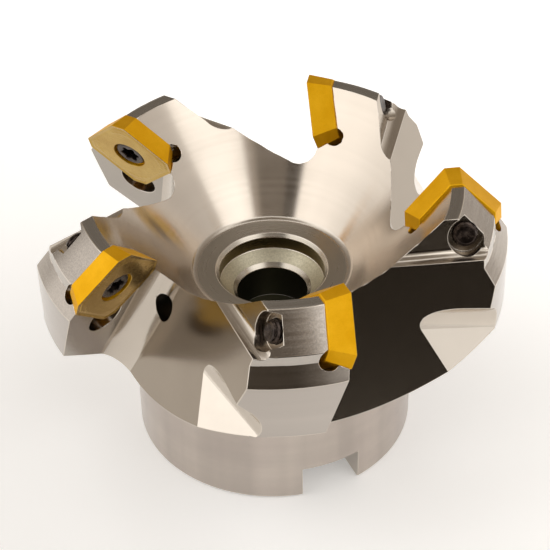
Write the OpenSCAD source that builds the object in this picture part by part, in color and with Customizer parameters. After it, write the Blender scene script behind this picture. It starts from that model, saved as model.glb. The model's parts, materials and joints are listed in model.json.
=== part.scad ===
// Indexable 45 degree face mill, five teeth, for a shell mill arbor.
// Origin: centre of the back face of the hub. +Z runs along the spindle axis to the cutting face.
// The drive slots lie along the Y axis. Units: mm.

/* [Parts shown] */
// Which sub-part to draw: all, cutter_body, insert_1 to insert_5 or insert_screw_1 to insert_screw_5

/* [Body] */
// Largest diameter of the flange behind the inserts
flange_d = 79; // [78:0.5:80]
// Height of the lower rim of the flange above the back face
flange_low_z = 29.6; // [29:0.1:30.5]
// Height of the top land of each tooth above the back face
land_z = 49.3; // [49:0.1:49.5]
// Diameter of the hub
hub_d = 48; // [46:0.5:50]
// Height of the flat ring round the screw counterbore
ring_z = 31.4; // [31:0.1:32]

/* [Arbor mount] */
// Bore for the arbor pilot
arbor_bore_d = 22; // [21.5:0.1:22.5]
// Depth of the arbor bore from the back face
arbor_bore_depth = 20.3; // [19.5:0.1:21]
// Width of each drive slot
drive_slot_w = 10.4; // [10.4:0.1:11]
// Depth of each drive slot from the back face
drive_slot_depth = 6.3; // [6:0.1:7]
// Diameter of the counterbore for the arbor screw head
screw_counterbore_d = 18; // [17.5:0.5:18.5]
// Height of the outer edge of the counterbore floor above the back face
counterbore_floor_z = 28.5; // [28:0.1:29]
// Clearance hole for the arbor screw
arbor_screw_hole_d = 12; // [11.5:0.5:12.5]

/* [Teeth] */
// Direction of the first tooth seen from the cutting face, counter-clockwise from +X
first_tooth_angle = 58.4; // [50:0.1:65]
// Distance of the insert centre from the axis
seat_radius = 29.9; // [29.8:0.1:30.1]
// Sideways offset of the insert face from the radial line
seat_offset = -5.5; // [-5.6:0.1:-5.4]
// Height of the insert centre above the back face
seat_z = 42.3; // [42.2:0.1:42.4]
// Axial rake of the insert face
axial_rake = 19.9; // [19.5:0.1:20.3]
// Radial rake of the insert face
radial_rake = 3.8; // [3.5:0.1:4.1]
// Coolant hole in each flute
coolant_hole_d = 4; // [3:0.1:4.2]

/* [Inserts] */
// Inscribed circle of the square insert
insert_ic = 13.4; // [13.3:0.1:13.5]
// Thickness of the insert
insert_t = 3.97; // [3.9:0.01:4.05]
// Distance across the chamfered corners
insert_corner = 16.38; // [16.3:0.02:16.5]
// Clearance angle of the long sides
side_clearance = 20; // [18:0.5:21]
// Clearance angle of the corner facets
corner_clearance = 24.5; // [23:0.5:26]

/* [Insert screws] */
// Head diameter of the insert screw
screw_head_d = 5.7; // [5.5:0.1:5.8]
// Thread diameter of the insert screw
screw_thread_d = 4; // [3.9:0.1:4]
// Distance of the screw tip behind the insert face
screw_reach = 11.3; // [10.8:0.1:11.6]

/* [Hidden] */
$fn = 96;
tooth_count = 5;
tooth_pitch = 360 / tooth_count;
big = 60;
cut = 0.1;

// body profile
flange_r = flange_d / 2;
flange_top_z = flange_low_z + 10.1;
band_r = 37.1;
band_low_z = 42.6;
band_top_z = 44.1;
land_outer_r = 31.9;
land_inner_r = 29.8;
hub_r = hub_d / 2;
hub_top_z = 16.7;
hub_chamfer = 0.5;
dish_r = 13.35;
dish_angle = atan2(land_z - ring_z, land_inner_r - dish_r);
dish_fillet = 1.5;
dish_tangent = dish_fillet * tan(dish_angle / 2);
mouth_chamfer = 0.6;
counterbore_chamfer = 0.6;
counterbore_slope = 30;
hole_chamfer = 0.7;

// back of each tooth
recess_depth_y = -11.9;
recess_low = -3.4;
recess_fillet = 1.8;
recess_height = 30;
recess_reach = 8;
runout_start = [20.1, -23.43, 33.7];
runout_azimuth = 10.35;
runout_slope = 16.67;
runout_roll = 54.6;
runout_fillet = 3.5;
runout_before = 6;
runout_length = 36;
runout_down = 16;
runout_out = 15;

// flute: a front face under the insert and the back of the next tooth, with a fillet between them
front_y = -0.3;
flute_turn = -17.07;
flute_back_x = -12.32;
flute_angle = 64.53;
flute_fillet = 3.7;

// insert seat
seat_gap = 0.02;
wall_groove_r = 1.6;
wall_groove_y = -3.3;
wall_groove_at = 5.2;
wall_groove_reach = 14;
apex_relief_r = 3.3;
apex_relief_x = 0.6;
apex_relief_z = -8.3;
apex_relief_depth = 0.25;
seat_half = 40;
seat_low = 12;
seat_front = 1;

// screw hole
thread_gap = 0.05;
exit_counterbore_r = 3.1;
exit_counterbore_y = -10.05;
exit_end_y = -22;

// coolant hole
coolant_r = 21.84;
coolant_turn = -9.6;
coolant_z = 33.7;
coolant_drop = 52;
coolant_length = 18.4;
coolant_lead = 4;

// insert and screw
hole_mouth_r = screw_head_d / 2 + 0.15;
hole_mouth_y = -0.6;
hole_cone_y = -1.9;
hole_r = screw_thread_d / 2 + 0.2;
head_top_y = -0.3;
head_rim = 0.4;
cone_gap = 0.03;
shank_r = screw_thread_d / 2 - 0.05;
tip_chamfer = 0.5;
drive_depth = 1.6;
drive_core_r = 1.35;
drive_lobe_r = 0.4;
drive_lobe_at = 1.4;
drive_flute_r = 0.5;
drive_flute_at = 1.82;
drive_lobes = 6;

body_color = [0.72, 0.70, 0.67];
insert_color = [0.86, 0.66, 0.20];
screw_color = [0.12, 0.12, 0.13];

// turns a part to tooth number i, counted from zero
module at_tooth(i) {
    rotate([0, 0, first_tooth_angle + i * tooth_pitch])
        children();
}

// frame of the insert: x outward, y along the cutting direction, z up the tooth
module at_seat() {
    translate([seat_radius, seat_offset, seat_z])
        rotate([0, 0, -radial_rake])
            rotate([-axial_rake, 0, 0])
                children();
}

// extrudes an outline drawn in x and z from y_front back to y_back
module slab(y_front, y_back) {
    translate([0, y_front, 0])
        rotate([90, 0, 0])
            linear_extrude(height = y_front - y_back)
                children();
}

// space outside one sloping side of the insert
module beyond_side(angle, distance, clearance) {
    rotate([0, angle, 0])
        translate([distance, 0, 0])
            rotate([0, 0, -clearance])
                translate([0, -big, -big])
                    cube([2 * big, 2 * big, 2 * big]);
}

module turned_outline() {
    polygon([[0, 0],
             [hub_r - hub_chamfer, 0],
             [hub_r, hub_chamfer],
             [hub_r, hub_top_z],
             [flange_r, flange_low_z],
             [flange_r, flange_top_z],
             [band_r + 0.3, band_low_z],
             [band_r, band_top_z],
             [land_outer_r, land_z],
             [land_inner_r, land_z],
             [dish_r, ring_z],
             [0, ring_z]]);
    difference() {
        polygon([[dish_r - dish_tangent, ring_z - cut],
                 [dish_r, ring_z - cut],
                 [dish_r + dish_tangent * cos(dish_angle), ring_z + dish_tangent * sin(dish_angle)],
                 [dish_r - dish_tangent, ring_z + dish_fillet]]);
        translate([dish_r - dish_tangent, ring_z + dish_fillet])
            circle(r = dish_fillet);
    }
}

module bore_outline() {
    hole_edge_r = arbor_screw_hole_d / 2 + hole_chamfer;
    hole_edge_z = counterbore_floor_z - (screw_counterbore_d / 2 - hole_edge_r) * tan(counterbore_slope);
    polygon([[0, -cut],
             [arbor_bore_d / 2 + mouth_chamfer, -cut],
             [arbor_bore_d / 2 + mouth_chamfer, 0],
             [arbor_bore_d / 2, mouth_chamfer],
             [arbor_bore_d / 2, arbor_bore_depth],
             [arbor_screw_hole_d / 2, arbor_bore_depth],
             [arbor_screw_hole_d / 2, hole_edge_z - hole_chamfer],
             [hole_edge_r, hole_edge_z],
             [screw_counterbore_d / 2, counterbore_floor_z],
             [screw_counterbore_d / 2, ring_z - counterbore_chamfer],
             [screw_counterbore_d / 2 + counterbore_chamfer, ring_z],
             [screw_counterbore_d / 2 + counterbore_chamfer, ring_z + cut],
             [0, ring_z + cut]]);
}

module drive_slots() {
    translate([-drive_slot_w / 2, -big, -cut])
        cube([drive_slot_w, 2 * big, drive_slot_depth + cut]);
}

module flute_outline() {
    corner_x = flute_back_x + front_y / tan(flute_angle);
    tangent = flute_fillet / tan(flute_angle / 2);
    polygon([[corner_x + tangent, front_y],
             [big, front_y],
             [big, big],
             [flute_back_x + big / tan(flute_angle), big],
             [corner_x + tangent * cos(flute_angle), front_y + tangent * sin(flute_angle)]]);
    translate([corner_x + tangent, front_y + flute_fillet])
        circle(r = flute_fillet);
}

module chip_space() {
    at_seat()
        rotate([0, flute_turn, 0])
            translate([0, 0, -big])
                linear_extrude(height = 2 * big)
                    flute_outline();
}

// recess in the back of the tooth round the end of the insert screw
module screw_recess() {
    translate([-big / 2, 0, 0])
        rotate([90, 0, 90])
            linear_extrude(height = big) {
                polygon([[recess_depth_y, recess_low + recess_fillet],
                         [recess_depth_y, recess_height],
                         [recess_depth_y - recess_reach, recess_height],
                         [recess_depth_y - recess_reach, recess_low],
                         [recess_depth_y - recess_fillet, recess_low]]);
                translate([recess_depth_y - recess_fillet, recess_low + recess_fillet])
                    circle(r = recess_fillet);
            }
}

// flat with a rounded upper side, cut across the lower back corner of the tooth
module back_runout() {
    translate(runout_start)
        rotate([0, 0, runout_azimuth])
            rotate([0, runout_slope, 0])
                rotate([runout_roll, 0, 0])
                    translate([-runout_before, 0, 0])
                        rotate([90, 0, 90])
                            linear_extrude(height = runout_length) {
                                polygon([[-runout_down, 0],
                                         [0, 0],
                                         [runout_fillet, runout_fillet],
                                         [runout_fillet, runout_out],
                                         [-runout_down, runout_out]]);
                                translate([0, runout_fillet])
                                    circle(r = runout_fillet);
                            }
}

// groove along the foot of one seat wall, open at the outer end of the wall
module wall_groove(side) {
    rotate([0, side * 45, 0])
        translate([side * wall_groove_at, wall_groove_y, -wall_groove_at])
            cylinder(r = wall_groove_r, h = wall_groove_at + wall_groove_reach);
}

module seat_pocket() {
    difference() {
        translate([-seat_half, -insert_t, -seat_low])
            cube([2 * seat_half, insert_t + seat_front, 2 * seat_half]);
        beyond_side(45, insert_ic / 2 + seat_gap, side_clearance);
        beyond_side(135, insert_ic / 2 + seat_gap, side_clearance);
    }
    translate([apex_relief_x, 0, apex_relief_z])
        slab(seat_front, -insert_t - apex_relief_depth)
            circle(r = apex_relief_r);
    wall_groove(1);
    wall_groove(-1);
}

module screw_hole() {
    slab(-insert_t + cut, exit_end_y)
        circle(r = screw_thread_d / 2 + thread_gap);
    slab(exit_counterbore_y, exit_end_y)
        circle(r = exit_counterbore_r);
}

module coolant_hole() {
    rotate([0, 0, coolant_turn])
        translate([coolant_r, 0, coolant_z])
            rotate([0, -90 - coolant_drop, 0])
                translate([0, 0, -coolant_lead])
                    cylinder(d = coolant_hole_d, h = coolant_length + coolant_lead);
}

module cutter_body() {
    color(body_color)
    difference() {
        rotate_extrude()
            turned_outline();
        rotate_extrude()
            bore_outline();
        drive_slots();
        for (i = [0 : tooth_count - 1])
            at_tooth(i) {
                chip_space();
                back_runout();
                coolant_hole();
                at_seat() {
                    seat_pocket();
                    screw_recess();
                    screw_hole();
                }
            }
    }
}

module insert_blank() {
    difference() {
        translate([-insert_corner / 2, -insert_t, -insert_corner / 2])
            cube([insert_corner, insert_t, insert_corner]);
        for (angle = [45 : 90 : 315])
            beyond_side(angle, insert_ic / 2, side_clearance);
        for (angle = [0 : 90 : 270])
            beyond_side(angle, insert_corner / 2, corner_clearance);
        rotate([90, 0, 0])
            rotate_extrude()
                polygon([[0, -cut],
                         [hole_mouth_r, -cut],
                         [hole_mouth_r, -hole_mouth_y],
                         [hole_r, -hole_cone_y],
                         [hole_r, insert_t + cut],
                         [0, insert_t + cut]]);
    }
}

module cutting_insert(i) {
    color(insert_color)
    at_tooth(i)
        at_seat()
            insert_blank();
}

module drive_star() {
    difference() {
        union() {
            circle(r = drive_core_r);
            for (k = [0 : drive_lobes - 1])
                rotate(k * 360 / drive_lobes)
                    translate([drive_lobe_at, 0])
                        circle(r = drive_lobe_r);
        }
        for (k = [0 : drive_lobes - 1])
            rotate((k + 0.5) * 360 / drive_lobes)
                translate([drive_flute_at, 0])
                    circle(r = drive_flute_r);
    }
}

module screw_blank() {
    cone_rate = (hole_mouth_r - hole_r) / (hole_mouth_y - hole_cone_y);
    head_r = screw_head_d / 2;
    head_low = -hole_mouth_y + (hole_mouth_r - cone_gap - head_r) / cone_rate;
    cone_low = -hole_mouth_y + (hole_mouth_r - cone_gap - shank_r) / cone_rate;
    difference() {
        rotate([90, 0, 0])
            rotate_extrude()
                polygon([[0, -head_top_y],
                         [head_r - head_rim, -head_top_y],
                         [head_r, -head_top_y + head_rim],
                         [head_r, head_low],
                         [shank_r, cone_low],
                         [shank_r, insert_t],
                         [screw_thread_d / 2, insert_t + 0.1],
                         [screw_thread_d / 2, screw_reach - tip_chamfer],
                         [screw_thread_d / 2 - tip_chamfer, screw_reach],
                         [0, screw_reach]]);
        slab(cut, head_top_y - drive_depth)
            drive_star();
    }
}

module insert_screw(i) {
    color(screw_color)
    at_tooth(i)
        at_seat()
            screw_blank();
}

cutter_body();
cutting_insert(0);  // insert_1
cutting_insert(1);  // insert_2
cutting_insert(2);  // insert_3
cutting_insert(3);  // insert_4
cutting_insert(4);  // insert_5
insert_screw(0);  // insert_screw_1
insert_screw(1);  // insert_screw_2
insert_screw(2);  // insert_screw_3
insert_screw(3);  // insert_screw_4
insert_screw(4);  // insert_screw_5
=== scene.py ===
"""Indexable face mill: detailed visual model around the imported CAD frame."""

import json
import math

import bmesh
import bpy
from mathutils import Matrix, Vector


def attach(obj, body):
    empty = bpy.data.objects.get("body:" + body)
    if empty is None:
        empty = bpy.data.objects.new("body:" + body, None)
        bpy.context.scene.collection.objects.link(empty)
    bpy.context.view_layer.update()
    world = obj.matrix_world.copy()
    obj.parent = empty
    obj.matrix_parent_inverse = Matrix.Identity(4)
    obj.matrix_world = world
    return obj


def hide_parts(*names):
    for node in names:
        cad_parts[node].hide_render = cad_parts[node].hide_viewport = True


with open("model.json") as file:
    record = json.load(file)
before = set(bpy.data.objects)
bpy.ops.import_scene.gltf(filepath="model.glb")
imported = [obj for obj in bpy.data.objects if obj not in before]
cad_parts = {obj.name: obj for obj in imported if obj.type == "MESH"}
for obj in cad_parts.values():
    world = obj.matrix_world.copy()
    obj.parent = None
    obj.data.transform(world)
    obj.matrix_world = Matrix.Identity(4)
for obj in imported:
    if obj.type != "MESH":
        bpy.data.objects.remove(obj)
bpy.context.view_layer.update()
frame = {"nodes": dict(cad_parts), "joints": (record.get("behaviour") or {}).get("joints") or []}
scene = bpy.context.scene
MM = 0.001
TEETH = 5


# ---------------------------------------------------------------- camera
SENSOR_WIDTH = 36.0
LENS = 131.79
VIEW_TURN = math.radians(-113.4105)
VIEW_RISE = math.radians(39.6245)
VIEW_ROLL = math.radians(-1.1887)
VIEW_DISTANCE = 0.34385
VIEW_AIM = Vector((0.00047, -0.0002, 0.02971))


def make_camera():
    """long lens from above, aimed at the middle of the cutter and rolled by about a degree"""
    data = bpy.data.cameras.new("view_camera")
    data.sensor_width = SENSOR_WIDTH
    data.lens = LENS
    data.clip_start = 0.01
    data.clip_end = 20.0
    camera = bpy.data.objects.new("view_camera", data)
    level = Vector((-math.sin(VIEW_TURN), math.cos(VIEW_TURN), 0.0))
    back = Vector((math.cos(VIEW_TURN), math.sin(VIEW_TURN), math.tan(VIEW_RISE))).normalized()
    right = level * math.cos(VIEW_ROLL) + back.cross(level) * math.sin(VIEW_ROLL)
    place = Matrix((right, back.cross(right), back)).transposed().to_4x4()
    place.translation = VIEW_AIM + back * VIEW_DISTANCE
    camera.matrix_world = place
    scene.collection.objects.link(camera)
    scene.camera = camera


# ---------------------------------------------------------------- node helpers
def connect(tree, value, socket):
    """a number sets the socket, another socket is linked to it"""
    if isinstance(value, (int, float)):
        socket.default_value = value
    else:
        tree.links.new(value, socket)


def math_node(tree, operation, a, b=None):
    n = tree.nodes.new("ShaderNodeMath")
    n.operation = operation
    connect(tree, a, n.inputs[0])
    if b is not None:
        connect(tree, b, n.inputs[1])
    return n.outputs[0]


def add(tree, a, b):
    return math_node(tree, "ADD", a, b)


def multiply(tree, a, b):
    return math_node(tree, "MULTIPLY", a, b)


def weighted(tree, a, a_share, b, b_share):
    return add(tree, multiply(tree, a, a_share), multiply(tree, b, b_share))


def remap(tree, value, low, high, to_low, to_high):
    n = tree.nodes.new("ShaderNodeMapRange")
    tree.links.new(value, n.inputs["Value"])
    n.inputs["From Min"].default_value = low
    n.inputs["From Max"].default_value = high
    n.inputs["To Min"].default_value = to_low
    n.inputs["To Max"].default_value = to_high
    return n.outputs["Result"]


def mix_color(tree, fac, a, b):
    n = tree.nodes.new("ShaderNodeMix")
    n.data_type = "RGBA"
    connect(tree, fac, n.inputs[0])
    for slot, value in ((6, a), (7, b)):
        if isinstance(value, tuple):
            n.inputs[slot].default_value = (*value, 1.0)
        else:
            tree.links.new(value, n.inputs[slot])
    return n.outputs[2]


def darker(color, share):
    return tuple(c * share for c in color)


def combine(tree, x, y, z):
    n = tree.nodes.new("ShaderNodeCombineXYZ")
    for slot, value in enumerate((x, y, z)):
        connect(tree, value, n.inputs[slot])
    return n.outputs[0]


def separate(tree, vector):
    n = tree.nodes.new("ShaderNodeSeparateXYZ")
    tree.links.new(vector, n.inputs[0])
    return n.outputs


def noise(tree, vector, scale, detail=4.0, rough=0.55):
    n = tree.nodes.new("ShaderNodeTexNoise")
    tree.links.new(vector, n.inputs["Vector"])
    n.inputs["Scale"].default_value = scale
    n.inputs["Detail"].default_value = detail
    n.inputs["Roughness"].default_value = rough
    return n.outputs["Fac"]


def bump(tree, height, strength, distance):
    n = tree.nodes.new("ShaderNodeBump")
    n.inputs["Strength"].default_value = strength
    n.inputs["Distance"].default_value = distance
    tree.links.new(height, n.inputs["Height"])
    return n.outputs["Normal"]


def new_material(name, metallic=1.0):
    material = bpy.data.materials.new(name)
    material.use_nodes = True
    tree = material.node_tree
    shader = tree.nodes["Principled BSDF"]
    shader.inputs["Metallic"].default_value = metallic
    return material, tree, shader


def object_position(tree):
    return tree.nodes.new("ShaderNodeTexCoord").outputs["Object"]


def polar(tree, position):
    """radius from the spindle axis, height, and turn angle, all as sockets"""
    x, y, z = separate(tree, position)
    radius = math_node(tree, "SQRT", add(tree, multiply(tree, x, x), multiply(tree, y, y)))
    return radius, z, math_node(tree, "ARCTAN2", y, x)


# ---------------------------------------------------------------- steel
MARK_DEPTH = 0.02 * MM
PAINTED_BAND_SHADE = 0.55
MOTTLE_SHADE = 0.35


def spread_roughness(tree, marks, roughness, streak):
    """roughness that rises and falls with a noise"""
    return remap(tree, marks, 0.3, 0.7, roughness - streak * 0.5, roughness + streak * 0.5)


def turned_steel(
    name, color, roughness, along, anisotropy=0.6,
    band=0.10, streak=0.15, groove=0.3, tint=None, mottle=0.0, painted_bands=0.0,
):
    """steel with lathe marks; along = (radius factor, height factor) of the feed direction; an optional share
    darkens sectors round the spindle as painted bands of light and shade
    """
    material, tree, shader = new_material(name)
    position = object_position(tree)
    radius, height, turn = polar(tree, position)
    feed = weighted(tree, radius, along[0], height, along[1])
    rings = noise(tree, combine(tree, feed, 0.0, 0.0), 1500.0, 3.0, 0.6)
    broad = noise(tree, combine(tree, feed, 0.0, 0.0), 260.0, 2.0, 0.5)
    cloud = noise(tree, position, 70.0, 4.0, 0.6)
    grain = noise(tree, position, 3500.0, 2.0, 0.6)
    base = mix_color(tree, remap(tree, broad, 0.3, 0.7, 0.0, 1.0), darker(color, 1.0 - band), color)
    if tint:
        base = mix_color(tree, remap(tree, cloud, 0.42, 0.7, 0.0, 0.6), base, tint)
    # painted bands of light and shade: sectors round the spindle darkened by a noise
    if painted_bands:
        around = combine(tree, math_node(tree, "COSINE", turn), math_node(tree, "SINE", turn), 0.0)
        painted_sector = noise(tree, around, 4.0, 2.0, 0.5)
        base = mix_color(tree, remap(tree, painted_sector, 0.35, 0.65, 0.0, painted_bands), base, darker(color, PAINTED_BAND_SHADE))
    if mottle:
        base = mix_color(tree, remap(tree, grain, 0.35, 0.65, 0.0, mottle), base, darker(color, MOTTLE_SHADE))
    tree.links.new(base, shader.inputs["Base Color"])
    clouded = remap(tree, cloud, 0.3, 0.7, -0.04, 0.04)
    rough = add(tree, spread_roughness(tree, rings, roughness, streak), clouded)
    tree.links.new(rough, shader.inputs["Roughness"])
    relief = add(tree, rings, multiply(tree, grain, 0.5))
    tree.links.new(bump(tree, relief, groove, MARK_DEPTH), shader.inputs["Normal"])
    shader.inputs["Anisotropic"].default_value = anisotropy
    shader.inputs["Anisotropic Rotation"].default_value = 0.25
    tangent = tree.nodes.new("ShaderNodeTangent")
    tangent.direction_type = "RADIAL"
    tangent.axis = "Z"
    tree.links.new(tangent.outputs[0], shader.inputs["Tangent"])
    return material


def milled_steel(name, color, roughness, fineness, groove=0.15, streak=0.1, spots=0.0):
    """steel with cutter marks; fineness packs them closer up the spindle than across it"""
    material, tree, shader = new_material(name)
    position = object_position(tree)
    mapping = tree.nodes.new("ShaderNodeMapping")
    mapping.inputs["Scale"].default_value = (1.0, 1.0, fineness)
    tree.links.new(position, mapping.inputs["Vector"])
    marks = noise(tree, mapping.outputs[0], 1200.0, 3.0, 0.55)
    cloud = noise(tree, position, 90.0, 4.0, 0.6)
    base = mix_color(tree, remap(tree, cloud, 0.35, 0.7, 0.0, 1.0), darker(color, 0.93), color)
    if spots:
        base = mix_color(tree, remap(tree, cloud, 0.56, 0.66, 0.0, spots), base, (0.20, 0.13, 0.07))
    tree.links.new(base, shader.inputs["Base Color"])
    tree.links.new(spread_roughness(tree, marks, roughness, streak), shader.inputs["Roughness"])
    tree.links.new(bump(tree, marks, groove, MARK_DEPTH), shader.inputs["Normal"])
    return material


def make_turned_steels():
    """the lathe finishes, by region of the turned outline; the base colours differ partly by finish and partly
    as painted light and shade, with painted shade on the hub and the counterbore wall
    """
    return {
        "dish": turned_steel(
            "steel_dish", (0.62, 0.55, 0.475), 0.18, (0.69, 0.72), 0.92, band=0.06, streak=0.05, groove=0.12,
        ),
        "land": turned_steel("steel_land", (0.42, 0.40, 0.37), 0.26, (1.0, 0.0), 0.4),
        "cone": turned_steel("steel_cone", (0.45, 0.40, 0.35), 0.20, (0.7, -0.7), 0.3, mottle=0.28),
        "band": turned_steel("steel_band", (0.56, 0.52, 0.475), 0.22, (0.0, 1.0), 0.3),
        "steep": turned_steel(
            "steel_steep", (0.46, 0.41, 0.36), 0.17, (0.6, -0.8), 0.3, groove=0.2, mottle=0.2,
        ),
        "flange": turned_steel(
            "steel_flange", (0.52, 0.475, 0.435), 0.16, (0.0, 1.0), 0.4, streak=0.04, groove=0.08,
        ),
        # hub: colour set darker as painted shade from the flange overhang, with painted bands of light and shade
        # round it
        "hub": turned_steel(
            "steel_hub_painted_shade", (0.58, 0.515, 0.46), 0.22, (0.0, 1.0), 0.5,
            streak=0.05, groove=0.08, tint=(0.48, 0.41, 0.38), painted_bands=0.35,
        ),
        "ring": turned_steel(
            "steel_ring", (0.44, 0.40, 0.345), 0.30, (1.0, 0.0), 0.3, groove=0.1, tint=(0.34, 0.31, 0.26),
        ),
        "chamfer": turned_steel("steel_chamfer", (0.50, 0.455, 0.39), 0.25, (1.0, 0.0), 0.3),
        # wall: dark brown colour and tint, painted shade inside the counterbore
        "wall": turned_steel("steel_wall_painted_shade", (0.26, 0.20, 0.10), 0.30, (0.0, 1.0), 0.4, tint=(0.20, 0.15, 0.07)),
        "counterbore": turned_steel(
            "steel_counterbore", (0.62, 0.57, 0.43), 0.45, (1.0, 0.4), 0.2,
            tint=(0.42, 0.36, 0.22), mottle=0.35,
        ),
    }


def make_milled_steels():
    """the other finishes: bored holes, milled faces and broken edges; the base colours differ partly by finish
    and partly as painted light and shade, darker on the bore and the polished back and front faces, lighter on
    the run-out faces
    """
    return {
        # hole: near-black colour, painted shade inside the bore
        "hole": milled_steel("steel_hole_painted_shade", (0.06, 0.055, 0.03), 0.45, 6.0),
        # polished and front: darker colours, painted shade
        "polished": milled_steel("steel_polished_painted_shade", (0.36, 0.305, 0.245), 0.20, 5.0, groove=0.04, streak=0.04),
        "front": milled_steel("steel_front_painted_shade", (0.42, 0.38, 0.335), 0.22, 6.0, groove=0.12, streak=0.08),
        # runout: lighter colour, painted light
        "runout": milled_steel("steel_runout_painted_light", (0.74, 0.67, 0.59), 0.22, 8.0, groove=0.15, streak=0.08),
        "recess": milled_steel("steel_recess", (0.50, 0.43, 0.35), 0.14, 5.0, groove=0.08, streak=0.05),
        "pocket": milled_steel("steel_pocket", (0.56, 0.51, 0.45), 0.30, 6.0, groove=0.2, spots=0.35),
        "edge": milled_steel("steel_edge", (0.66, 0.60, 0.53), 0.20, 6.0, groove=0.1, streak=0.05),
        "milled": milled_steel("steel_milled", (0.60, 0.54, 0.47), 0.20, 6.0, groove=0.12, streak=0.08),
    }


# ---------------------------------------------------------------- body: which face is which
FIRST_TOOTH = 58.4
TOOTH_FACES = (
    ("polished", (0.841, -0.375, 0.400)),
    ("front", (0.056, 0.939, -0.340)),
    ("runout", (0.835, 0.056, 0.550)),
    ("recess", (-0.056, -0.939, 0.340)),
    ("pocket", (0.701, 0.502, 0.510)),
    ("pocket", (-0.622, 0.592, 0.510)),
)
SAME_DIRECTION = 0.9995
SEAT_CENTER = Vector((0.0299, -0.0055, 0.0423))
SEAT_MARGIN = 2.0 * MM

# regions of the turned outline, each from one (radius, height) to the next, in millimetres
TURNED = (
    ("hub", (24.0, 0.5), (24.0, 16.7)),
    ("hub", (23.5, 0.0), (24.0, 0.5)),
    ("hub", (11.0, 0.0), (23.5, 0.0)),
    ("flange", (24.0, 16.7), (39.5, 29.6)),
    ("flange", (39.5, 29.6), (39.5, 39.7)),
    ("steep", (39.5, 39.7), (37.4, 42.6)),
    ("band", (37.4, 42.6), (37.1, 44.1)),
    ("cone", (37.1, 44.1), (31.9, 49.3)),
    ("land", (31.9, 49.3), (29.8, 49.3)),
    ("dish", (29.8, 49.3), (13.78, 31.86)),
    ("ring", (12.72, 31.4), (9.6, 31.4)),
    ("chamfer", (9.6, 31.4), (9.0, 30.8)),
    ("wall", (9.0, 30.8), (9.0, 28.5)),
    ("counterbore", (9.0, 28.5), (6.7, 27.17)),
    ("chamfer", (6.7, 27.17), (6.0, 26.47)),
    ("hole", (6.0, 26.47), (6.0, 20.3)),
    ("hole", (6.0, 20.3), (11.0, 20.3)),
    ("hole", (11.0, 20.3), (11.0, 0.6)),
    ("hole", (11.0, 0.6), (11.6, 0.0)),
)
OUTLINE_SLACK = 0.06
SIDEWAYS_LIMIT = 0.08


def tooth_region(center, normal):
    """milled faces told apart by their direction in the frame of one tooth"""
    for k in range(TEETH):
        turn = Matrix.Rotation(-math.radians(FIRST_TOOTH + 360.0 / TEETH * k), 3, "Z")
        for name, face_direction in TOOTH_FACES:
            direction = Vector(face_direction)
            if (turn @ normal).dot(direction) <= SAME_DIRECTION:
                continue
            behind_seat = (turn @ center - SEAT_CENTER).dot(direction) < -SEAT_MARGIN
            return "pocket" if name == "front" and behind_seat else name
    return "milled"


def turned_side(corners, normal):
    """the stretch of the turned outline a face lies on, or nothing for a milled face"""
    center = sum(corners, Vector()) / len(corners)
    radius = math.hypot(center.x, center.y)
    if radius < 1e-6 or abs(normal.y * center.x - normal.x * center.y) / radius > SIDEWAYS_LIMIT:
        return None
    points = [(math.hypot(c.x, c.y) / MM, c.z / MM) for c in corners]
    best, found = OUTLINE_SLACK, None
    for index, (_, (r0, z0), (r1, z1)) in enumerate(TURNED):
        length = math.hypot(r1 - r0, z1 - z0)
        along = ((r1 - r0) / length, (z1 - z0) / length)
        off = 0.0
        for r, z in points:
            side = abs((r - r0) * along[1] - (z - z0) * along[0])
            run = (r - r0) * along[0] + (z - z0) * along[1]
            off = max(off, side, -run, run - length)
        if off < best:
            best, found = off, index
    return found


def mark_faces(bm, side_layer, names):
    """a finish for every face; the layer holds side + 2 if turned, 1 for the listed tooth faces, else 0"""
    for face in bm.faces:
        side = turned_side([v.co for v in face.verts], face.normal)
        if side is not None:
            region = TURNED[side][0]
            face[side_layer] = side + 2
        else:
            region = tooth_region(face.calc_center_median(), face.normal)
            face[side_layer] = 0 if region == "milled" else 1
        face.material_index = names.index(region)


# ---------------------------------------------------------------- body: mesh
ROUND_REGIONS = ("dish", "cone", "steep")
CELL_HEIGHTS = range(33, 49, 2)
CELL_TURN = 5.0
FIRST_CELL = 2.0
CUT_MARGIN = 0.02 * MM
CONE_SLACK = 0.05 * MM

BREAK_ANGLE = math.radians(25.0)
BREAK_WIDTH = 0.12 * MM
SHORTEST = 0.16 * MM
SMOOTH = math.cos(math.radians(20.0))


def refine_round(bm, side_layer):
    """even cells over the conical faces, with every corner on the true cone"""
    def wanted():
        return [f for f in bm.faces if f[side_layer] > 1 and TURNED[f[side_layer] - 2][0] in ROUND_REGIONS]

    def crosses(face, point, normal):
        sides = [(v.co - point).dot(normal) for v in face.verts]
        return min(sides) < -CUT_MARGIN and max(sides) > CUT_MARGIN

    def split(point, normal):
        faces = [f for f in wanted() if crosses(f, point, normal)]
        edges = {e for f in faces for e in f.edges}
        verts = {v for f in faces for v in f.verts}
        geometry = faces + list(edges) + list(verts)
        bmesh.ops.bisect_plane(bm, geom=geometry, dist=1e-5, plane_co=point, plane_no=normal)

    for height in CELL_HEIGHTS:
        split(Vector((0.0, 0.0, height * MM)), Vector((0.0, 0.0, 1.0)))
    for step in range(round(180.0 / CELL_TURN)):
        turn = math.radians(CELL_TURN * step + FIRST_CELL)
        split(Vector(), Vector((-math.sin(turn), math.cos(turn), 0.0)))
    for face in wanted():
        _, (r0, z0), (r1, z1) = TURNED[face[side_layer] - 2]
        for vert in face.verts:
            radius = math.hypot(vert.co.x, vert.co.y)
            true = (r0 + (vert.co.z / MM - z0) * (r1 - r0) / (z1 - z0)) * MM
            if 0.0 < abs(true - radius) < CONE_SLACK:
                vert.co.x *= true / radius
                vert.co.y *= true / radius


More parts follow.
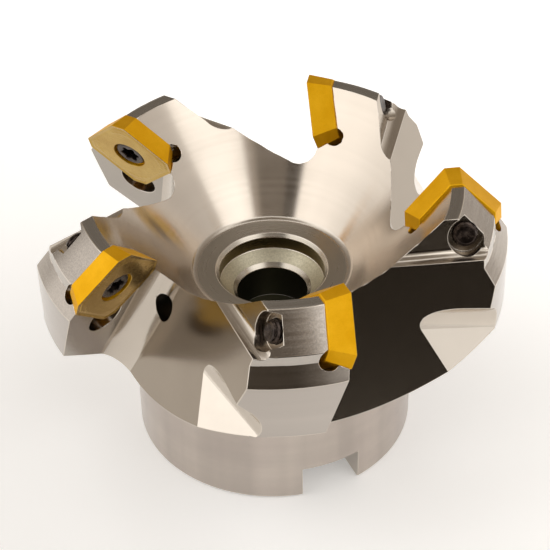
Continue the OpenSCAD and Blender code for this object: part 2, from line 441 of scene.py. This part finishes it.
def breakable(border):
    """a sharp edge with enough room round it to be broken"""
    if len(border.link_faces) != 2 or border.calc_face_angle(0.0) < BREAK_ANGLE:
        return False
    return all(other.calc_length() > SHORTEST for vert in border.verts for other in vert.link_edges)


def break_edges(bm, edge_slot):
    sharp = [e for e in bm.edges if breakable(e)]
    bmesh.ops.bevel(
        bm, geom=sharp, offset=BREAK_WIDTH, offset_type="OFFSET", segments=2, profile=0.5,
        affect="EDGES", clamp_overlap=False, material=edge_slot,
    )


def turned_normal(index, point, like):
    """true normal of a turned face at a point, on the same side as the face"""
    _, (r0, z0), (r1, z1) = TURNED[index]
    radius = math.hypot(point.x, point.y)
    outward = (point.x / radius, point.y / radius) if radius > 1e-6 else (1.0, 0.0)
    normal = Vector((outward[0] * (z1 - z0), outward[1] * (z1 - z0), r0 - r1)).normalized()
    return normal if normal.dot(like) > 0.0 else -normal


def true_normal(face, vert, truth):
    side = truth.get(face.index)
    if side is None or side < 0:
        return face.normal.copy()
    return turned_normal(side, vert.co, face.normal)


def true_neighbors(face, vert, truth, edge_slot):
    """faces round a corner whose exact normal the corner takes over"""
    if face.material_index == edge_slot:
        edges = [e for e in vert.link_edges if face in e.link_faces]
        return [f for e in edges for f in e.link_faces if f.material_index != edge_slot]
    known = [f for f in vert.link_faces if f.material_index != edge_slot and f.index in truth]
    return [f for f in known if f.normal.dot(face.normal) > SMOOTH]


def blended_normal(face, vert, edge_slot):
    """mean of the smooth neighbours' normals, weighted by their corner angles"""
    total = Vector()
    for other in vert.link_loops:
        if other.face.normal.dot(face.normal) > SMOOTH or face.material_index == edge_slot:
            total += other.face.normal * other.calc_angle()
    return total.normalized() if total.length > 1e-9 else face.normal.copy()


def loop_normals(bm, truth, edge_slot):
    """shading normals: exact on turned and listed tooth faces, running smoothly over the others and the edges"""
    normals = []
    for face in bm.faces:
        exact = face.index in truth and face.material_index != edge_slot
        for corner in face.loops:
            vert = corner.vert
            beside = [face] if exact else true_neighbors(face, vert, truth, edge_slot)
            if beside:
                normals.append(true_normal(beside[0], vert, truth))
            else:
                normals.append(blended_normal(face, vert, edge_slot))
    return normals


def build_body(steels):
    names = sorted(steels)
    edge_slot = names.index("edge")
    mesh = bpy.data.meshes.new("milled_body")
    bm = bmesh.new()
    bm.from_mesh(frame["nodes"]["cutter_body"].data)
    bmesh.ops.remove_doubles(bm, verts=bm.verts, dist=1e-6)
    bmesh.ops.dissolve_degenerate(bm, dist=1e-6, edges=bm.edges)
    side_layer = bm.faces.layers.int.new("turned_side")
    bm.normal_update()
    mark_faces(bm, side_layer, names)
    bmesh.ops.dissolve_limit(
        bm, angle_limit=math.radians(0.4), verts=bm.verts, edges=bm.edges, delimit={"MATERIAL"},
    )
    refine_round(bm, side_layer)
    break_edges(bm, edge_slot)
    bm.normal_update()
    bm.faces.index_update()
    truth = {f.index: f[side_layer] - 2 for f in bm.faces if f[side_layer] > 0}
    for face in bm.faces:
        face.smooth = True
    normals = loop_normals(bm, truth, edge_slot)
    bm.to_mesh(mesh)
    bm.free()
    mesh.normals_split_custom_set(normals)
    # centred on the spindle, because the radial tangent of the turned finishes turns about this centre
    mesh.use_auto_texspace = False
    mesh.texspace_location = (0.0, 0.0, 0.025)
    mesh.texspace_size = (0.04, 0.04, 0.03)
    for name in names:
        mesh.materials.append(steels[name])
    piece = bpy.data.objects.new("milled_body", mesh)
    scene.collection.objects.link(piece)
    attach(piece, "cutter")
    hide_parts("cutter_body")


# ---------------------------------------------------------------- lathed and lofted shapes
def seat_matrix(index):
    """frame of the insert seat: x outward, y off the seat, z up the tooth"""
    joint = next(j for j in frame["joints"] if j["name"] == f"insert_screw_{index}_turn")
    normal = Vector(joint["axis"]).normalized()
    across = Vector((normal.y, -normal.x, 0.0)).normalized()
    place = Matrix((across, normal, across.cross(normal))).transposed().to_4x4()
    place.translation = Vector(joint["pos_m"])
    return place


def bridge_rings(faces, starts, count):
    """quads between each ring of corners and the next"""
    for a, b in zip(starts, starts[1:]):
        for k in range(count):
            n = (k + 1) % count
            faces.append((a + k, a + n, b + n, b + k))


def mesh_object(name, verts, faces, place, material):
    mesh = bpy.data.meshes.new(name)
    mesh.from_pydata([place @ (Vector(v) * MM) for v in verts], [], faces)
    mesh.materials.append(material)
    bm = bmesh.new()
    bm.from_mesh(mesh)
    bmesh.ops.remove_doubles(bm, verts=bm.verts, dist=1e-7)
    bmesh.ops.recalc_face_normals(bm, faces=bm.faces)
    bm.to_mesh(mesh)
    bm.free()
    mesh.polygons.foreach_set("use_smooth", [True] * len(mesh.polygons))
    mesh.set_sharp_from_angle(angle=math.radians(22.0))
    piece = bpy.data.objects.new(name, mesh)
    scene.collection.objects.link(piece)
    return piece


# ---------------------------------------------------------------- inserts
INSERT_SIDE = 6.70
INSERT_CORNER = 8.19
INSERT_T = 3.97
SIDE_SLOPE = math.tan(math.radians(20.0))
CORNER_SLOPE = math.tan(math.radians(24.5))
AROUND = 160
SEAT_CHAMFER = 0.10
RAKE_SKIN = 0.3

GROOVE_DEPTH = 0.10
FACE_DEPTH = 0.045
LAND_WIDTH = 0.18
GROOVE_WIDTH = 0.62
RIM_WIDTH = 1.0
RIM_INSETS = (0.04, LAND_WIDTH, 0.26, 0.36, 0.48, GROOVE_WIDTH, 0.74, 0.86, RIM_WIDTH)
FACE_STEPS = 24
MARK_PLACES = (-1.6, -0.8, 0.0, 0.8, 1.6)
MARK_DISTANCE = 6.35
MARK_CURVE = 0.16
MARK_HEIGHT = 0.07
MARK_SIZE = (0.17, 0.26)

HOLE_RIM = 3.14
HOLE_R = 2.20
HOLE_PROFILE = ((3.07, -0.055), (3.01, -0.11), (3.00, -0.60), (HOLE_R, -1.90), (HOLE_R, -INSERT_T))


def octagon_radius(angle, side, corner):
    """distance from the centre to the chamfered square's edge"""
    best = 1e9
    for k in range(4):
        for start, distance in ((0.0, corner), (45.0, side)):
            c = math.cos(angle - math.radians(start + 90.0 * k))
            if c > 1e-6:
                best = min(best, distance / c)
    return best


def inset_radius(angle, inset):
    return octagon_radius(angle, INSERT_SIDE - inset, INSERT_CORNER - inset)


def outline_angles():
    """even angles, with the eight corners of the outline among them"""
    half = math.atan2(INSERT_SIDE * math.sqrt(2) - INSERT_CORNER, INSERT_CORNER)
    corners = sorted((math.radians(90.0 * k) + s * half) % (2 * math.pi) for k in range(4) for s in (-1, 1))
    angles = []
    for a, b in zip(corners, corners[1:] + [corners[0] + 2 * math.pi]):
        steps = max(4, round((b - a) / (2 * math.pi) * AROUND))
        angles += [a + (b - a) * s / steps for s in range(steps)]
    return angles


def rake_height(x, z, inset):
    """height of the rake face: edge land, shallow chip groove, raised marks near the corners"""
    if inset < LAND_WIDTH:
        height = 0.0
    elif inset < GROOVE_WIDTH:
        height = -GROOVE_DEPTH * math.sin((inset - LAND_WIDTH) / (GROOVE_WIDTH - LAND_WIDTH) * math.pi / 2)
    elif inset < RIM_WIDTH:
        rise = (inset - GROOVE_WIDTH) / (RIM_WIDTH - GROOVE_WIDTH)
        height = -GROOVE_DEPTH + (GROOVE_DEPTH - FACE_DEPTH) * rise
    else:
        height = -FACE_DEPTH
    for k in range(4):
        turn = math.radians(90.0 * k)
        u = x * math.cos(turn) + z * math.sin(turn)
        v = -x * math.sin(turn) + z * math.cos(turn)
        for mark in MARK_PLACES:
            du = (u - MARK_DISTANCE + MARK_CURVE * mark * mark) / MARK_SIZE[0]
            dv = (v - mark) / MARK_SIZE[1]
            height += MARK_HEIGHT * math.exp(-du * du - dv * dv)
    return height


def insert_rings(angles, verts):
    """rings of corners from the hole's seat end round the outside and back down through the hole"""
    def ring(radius_of, height_of):
        start = len(verts)
        for a in angles:
            r = radius_of(a)
            x, z = r * math.cos(a), r * math.sin(a)
            verts.append((x, height_of(x, z), z))
        return start

    def hole_ring(radius, height):
        return ring(lambda a: radius, lambda x, z: height)

    def side_ring(depth, inset=0.0):
        side = INSERT_SIDE - depth * SIDE_SLOPE - inset
        corner = INSERT_CORNER - depth * CORNER_SLOPE - inset
        return ring(lambda a: octagon_radius(a, side, corner), lambda x, z: -depth)

    def rim_ring(inset):
        return ring(lambda a: inset_radius(a, inset), lambda x, z: rake_height(x, z, inset))

    def face_ring(share):
        def radius(a):
            outer = inset_radius(a, RIM_WIDTH)
            return outer + (HOLE_RIM - outer) * share

        return ring(radius, lambda x, z: rake_height(x, z, 2.0 * RIM_WIDTH))

    rings = [hole_ring(HOLE_R, -INSERT_T), side_ring(INSERT_T, SEAT_CHAMFER)]
    rings += [side_ring(depth) for depth in (INSERT_T - SEAT_CHAMFER, 0.9, 0.05)]
    rings += [rim_ring(inset) for inset in RIM_INSETS]
    rings += [face_ring(s / FACE_STEPS) for s in range(1, FACE_STEPS + 1)]
    rings += [hole_ring(radius, height) for radius, height in HOLE_PROFILE]
    return rings


def build_insert(index, golds):
    angles = outline_angles()
    verts, faces = [], []
    bridge_rings(faces, insert_rings(angles, verts), len(angles))
    place = seat_matrix(index)
    piece = mesh_object(f"carbide_insert_{index}", verts, faces, place, golds[0])
    piece.data.materials.append(golds[1])
    to_seat = place.inverted()
    for polygon in piece.data.polygons:
        polygon.material_index = 1 if (to_seat @ polygon.center).y > -RAKE_SKIN * MM else 0
    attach(piece, f"insert_{index}")
    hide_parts(f"insert_{index}")


# ---------------------------------------------------------------- screws
SCREW_AROUND = 96
PITCH = 0.7
THREAD_R = 2.0
THREAD_CUT = 0.40
CREST_HEIGHT = 0.39
THREAD_START = -4.0
THREAD_FADE = 0.5
THREAD_ROWS = 88
SCREW_TIP = -11.3
STAR_RIM = 1.07
FACE_RIM = 2.40
FACE_HEIGHT = -0.305

# the drive, as (size against the star outline, height)
DRIVE_PROFILE = ((0.02, -2.25), (0.45, -2.10), (0.92, -1.88), (0.97, -0.80), (0.98, -0.46), (STAR_RIM, -0.32))
# the head from its flat face to the shank, as (radius, height)
HEAD_PROFILE = (
    (FACE_RIM, FACE_HEIGHT), (2.50, -0.33), (2.62, -0.41), (2.83, -0.66), (2.85, -0.72), (2.84, -0.80),
    (1.98, -2.19), (1.94, -2.30), (1.94, -3.85),
)
# the tip, as (radius, height above the tip)
TIP_PROFILE = ((1.48, 0.01), (1.20, 0.0), (0.30, 0.10), (0.02, 0.10))


def star_radius(angle):
    """six-lobe drive outline"""
    wave = math.cos(6 * angle)
    return 1.53 + 0.25 * wave + 0.03 * wave * wave


def thread_radius(angle, height, end):
    """screw thread that fades out at both ends"""
    fade = max(0.0, min(1.0, (THREAD_START - height) / THREAD_FADE, (height - end) / THREAD_FADE))
    phase = (height / PITCH - angle / (2 * math.pi)) % 1.0
    crest = min(1.0, max(0.0, (abs(phase - 0.5) * 2.0 - 0.12) / 0.72))
    return THREAD_R - THREAD_CUT + CREST_HEIGHT * crest * fade


def screw_rings(verts):
    """rings of corners from the bottom of the drive over the head and down to the tip"""
    def ring(radius_of, height):
        start = len(verts)
        for k in range(SCREW_AROUND):
            a = k * 2 * math.pi / SCREW_AROUND
            r = radius_of(a)
            verts.append((r * math.cos(a), height, r * math.sin(a)))
        return start

    def flat(radius, height):
        return ring(lambda a: radius, height)

    def face_ring(share):
        return ring(lambda a: star_radius(a) * STAR_RIM * (1 - share) + FACE_RIM * share, FACE_HEIGHT)

    rings = [ring(lambda a: star_radius(a) * size, height) for size, height in DRIVE_PROFILE]
    rings += [face_ring(share) for share in (0.35, 0.7)]
    rings += [flat(radius, height) for radius, height in HEAD_PROFILE]
    end = SCREW_TIP + 0.05
    for row in range(THREAD_ROWS + 1):
        height = THREAD_START + (end - THREAD_START) * row / THREAD_ROWS
        rings.append(ring(lambda a: thread_radius(a, height, end), height))
    rings += [flat(radius, SCREW_TIP + height) for radius, height in TIP_PROFILE]
    return rings


def build_screw(index, material):
    verts, faces = [], []
    rings = screw_rings(verts)
    bridge_rings(faces, rings, SCREW_AROUND)
    faces.append(tuple(range(rings[0] + SCREW_AROUND - 1, rings[0] - 1, -1)))
    faces.append(tuple(range(rings[-1], rings[-1] + SCREW_AROUND)))
    piece = mesh_object(f"clamp_screw_{index}", verts, faces, seat_matrix(index), material)
    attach(piece, f"insert_screw_{index}")
    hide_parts(f"insert_screw_{index}")


# ---------------------------------------------------------------- gold and black
def gold_material(name, deep, bright, roughness):
    """titanium nitride: an even gold with slight cloudiness and fine grain"""
    material, tree, shader = new_material(name)
    position = object_position(tree)
    cloud = noise(tree, position, 260.0, 4.0, 0.6)
    grain = noise(tree, position, 6000.0, 2.0, 0.6)
    base = mix_color(tree, remap(tree, cloud, 0.35, 0.68, 0.0, 1.0), deep, bright)
    base = mix_color(tree, remap(tree, grain, 0.58, 0.78, 0.0, 0.2), base, darker(deep, 0.55))
    tree.links.new(base, shader.inputs["Base Color"])
    tree.links.new(spread_roughness(tree, grain, roughness, 0.10), shader.inputs["Roughness"])
    tree.links.new(bump(tree, grain, 0.2, 0.01 * MM), shader.inputs["Normal"])
    return material


def black_material():
    """dark, slightly brown oxide on the screws"""
    material, tree, shader = new_material("black_oxide", metallic=0.8)
    position = object_position(tree)
    cloud = noise(tree, position, 900.0, 4.0, 0.6)
    shade = remap(tree, cloud, 0.35, 0.7, 0.0, 1.0)
    base = mix_color(tree, shade, (0.026, 0.018, 0.015), (0.10, 0.075, 0.062))
    tree.links.new(base, shader.inputs["Base Color"])
    tree.links.new(spread_roughness(tree, cloud, 0.26, 0.16), shader.inputs["Roughness"])
    tree.links.new(bump(tree, cloud, 0.2, MARK_DEPTH), shader.inputs["Normal"])
    return material


# ---------------------------------------------------------------- studio
FLOOR_HALF = 0.55
FLOOR_PLACE = (0.05, 0.15, -0.00005)
FLOOR_PAINTED_GLOW_TOWARD = (0.864, 0.505)
FLOOR_PAINTED_GLOW_SPAN = 0.08
FLOOR_PAINTED_GLOW = (0.14, 0.45)

SIDE_LIGHT_DIRECTION = (0.332, -0.624, 0.707)
SIDE_LIGHT_DISTANCE = 1.0
SIDE_LIGHT_SIZE = 0.6
SIDE_LIGHT_POWER = 0.4

# brightness of the room by direction round the table, in degrees: high up, and low down
SKY_SCALE = 2.0
SKY_HIGH = (
    (-180, 1.7), (-166, 1.8), (-152, 1.8), (-147, 0.08), (-135, 0.08), (-130, 0.20), (-104, 0.20),
    (-93, 0.50), (-84, 1.4), (-72, 1.6), (-48, 1.55), (-34, 0.8), (0, 0.45), (60, 0.28), (85, 0.30),
    (115, 0.6), (142, 1.5), (166, 1.7), (180, 1.7),
)
SKY_LOW = (
    (-180, 1.5), (-168, 1.4), (-155, 0.30), (-132, 0.04), (-98, 0.02), (-84, 0.12), (-66, 0.95),
    (-52, 1.0), (10, 0.8), (28, 0.7), (50, 0.3), (118, 0.3), (134, 1.3), (160, 1.3), (180, 1.5),
)
CEILING_COLOR = (0.75, 0.735, 0.71)
OVERHEAD_COLOR = (0.13, 0.11, 0.09)


def floor_material():
    """pale floor with a painted glow: its emission rises toward one side, a painted pool of light"""
    material, tree, shader = new_material("studio_floor", metallic=0.0)
    cloud = noise(tree, object_position(tree), 6.0, 2.0, 0.5)
    base = mix_color(tree, cloud, (0.93, 0.925, 0.915), (0.95, 0.945, 0.94))
    tree.links.new(base, shader.inputs["Base Color"])
    shader.inputs["Roughness"].default_value = 0.55
    shader.inputs["Emission Color"].default_value = (1.0, 0.995, 0.985, 1.0)
    # painted pool of light: the floor's emission rises from one side to the other
    x, y, _ = separate(tree, tree.nodes.new("ShaderNodeNewGeometry").outputs["Position"])
    across = weighted(tree, x, FLOOR_PAINTED_GLOW_TOWARD[0], y, FLOOR_PAINTED_GLOW_TOWARD[1])
    glow = remap(tree, across, -FLOOR_PAINTED_GLOW_SPAN, FLOOR_PAINTED_GLOW_SPAN, *FLOOR_PAINTED_GLOW)
    tree.links.new(glow, shader.inputs["Emission Strength"])
    return material


def make_floor():
    mesh = bpy.data.meshes.new("studio_floor")
    bm = bmesh.new()
    bmesh.ops.create_grid(bm, x_segments=8, y_segments=8, size=FLOOR_HALF)
    bm.to_mesh(mesh)
    bm.free()
    mesh.materials.append(floor_material())
    floor = bpy.data.objects.new("studio_floor", mesh)
    floor.location = FLOOR_PLACE
    scene.collection.objects.link(floor)


def make_side_light():
    data = bpy.data.lights.new("softbox_side", "AREA")
    data.shape = "RECTANGLE"
    data.size = SIDE_LIGHT_SIZE
    data.size_y = SIDE_LIGHT_SIZE
    data.energy = SIDE_LIGHT_POWER
    light = bpy.data.objects.new("softbox_side", data)
    away = Vector(SIDE_LIGHT_DIRECTION).normalized()
    light.location = Vector((0.0, 0.0, 0.03)) + away * SIDE_LIGHT_DISTANCE
    light.rotation_euler = away.to_track_quat("Z", "Y").to_euler()
    scene.collection.objects.link(light)


def sky_color(value):
    """dark parts of the room are brown, lit parts nearly neutral"""
    lit = min(value, 1.0)
    scaled = value / SKY_SCALE
    return (scaled, scaled * (0.80 + 0.18 * lit), scaled * (0.60 + 0.35 * lit), 1.0)


def sky_ramp(tree, turn, stops):
    """colour of the room against the direction round the table"""
    n = tree.nodes.new("ShaderNodeValToRGB")
    elements = n.color_ramp.elements
    n.color_ramp.interpolation = "EASE"
    for place, value in stops[1:-1]:
        elements.new((place + 180.0) / 360.0).color = sky_color(value)
    for end, (_, value) in ((0, stops[0]), (len(elements) - 1, stops[-1])):
        elements[end].position = 0.0 if end == 0 else 1.0
        elements[end].color = sky_color(value)
    tree.links.new(remap(tree, turn, -math.pi, math.pi, 0.0, 1.0), n.inputs["Fac"])
    return n.outputs["Color"]


def make_world():
    """a soft room: bright walls on both sides, a dark gap behind the view, a dim far wall, a dark patch above"""
    world = bpy.data.worlds.new("studio")
    scene.world = world
    world.use_nodes = True
    tree = world.node_tree
    background = tree.nodes["Background"]
    x, y, z = separate(tree, tree.nodes.new("ShaderNodeTexCoord").outputs["Generated"])
    turn = math_node(tree, "ARCTAN2", y, x)
    high = sky_ramp(tree, turn, SKY_HIGH)
    low = sky_ramp(tree, turn, SKY_LOW)
    wall = mix_color(tree, remap(tree, z, 0.36, 0.66, 0.0, 1.0), low, high)
    ceiling = mix_color(tree, remap(tree, z, 0.81, 0.91, 0.0, 1.0), wall, CEILING_COLOR)
    color = mix_color(tree, remap(tree, z, 0.91, 0.96, 0.0, 1.0), ceiling, OVERHEAD_COLOR)
    tree.links.new(color, background.inputs["Color"])
    background.inputs["Strength"].default_value = SKY_SCALE


# ---------------------------------------------------------------- scene
make_camera()
build_body({**make_turned_steels(), **make_milled_steels()})
gold = (
    gold_material("titanium_nitride", (0.80, 0.42, 0.008), (0.88, 0.49, 0.016), 0.55),
    gold_material("titanium_nitride_rake", (0.46, 0.29, 0.065), (0.53, 0.36, 0.10), 0.24),
)
black = black_material()
for number in range(1, TEETH + 1):
    build_insert(number, gold)
    build_screw(number, black)
make_world()
make_floor()
make_side_light()
scene.view_settings.view_transform = "Standard"
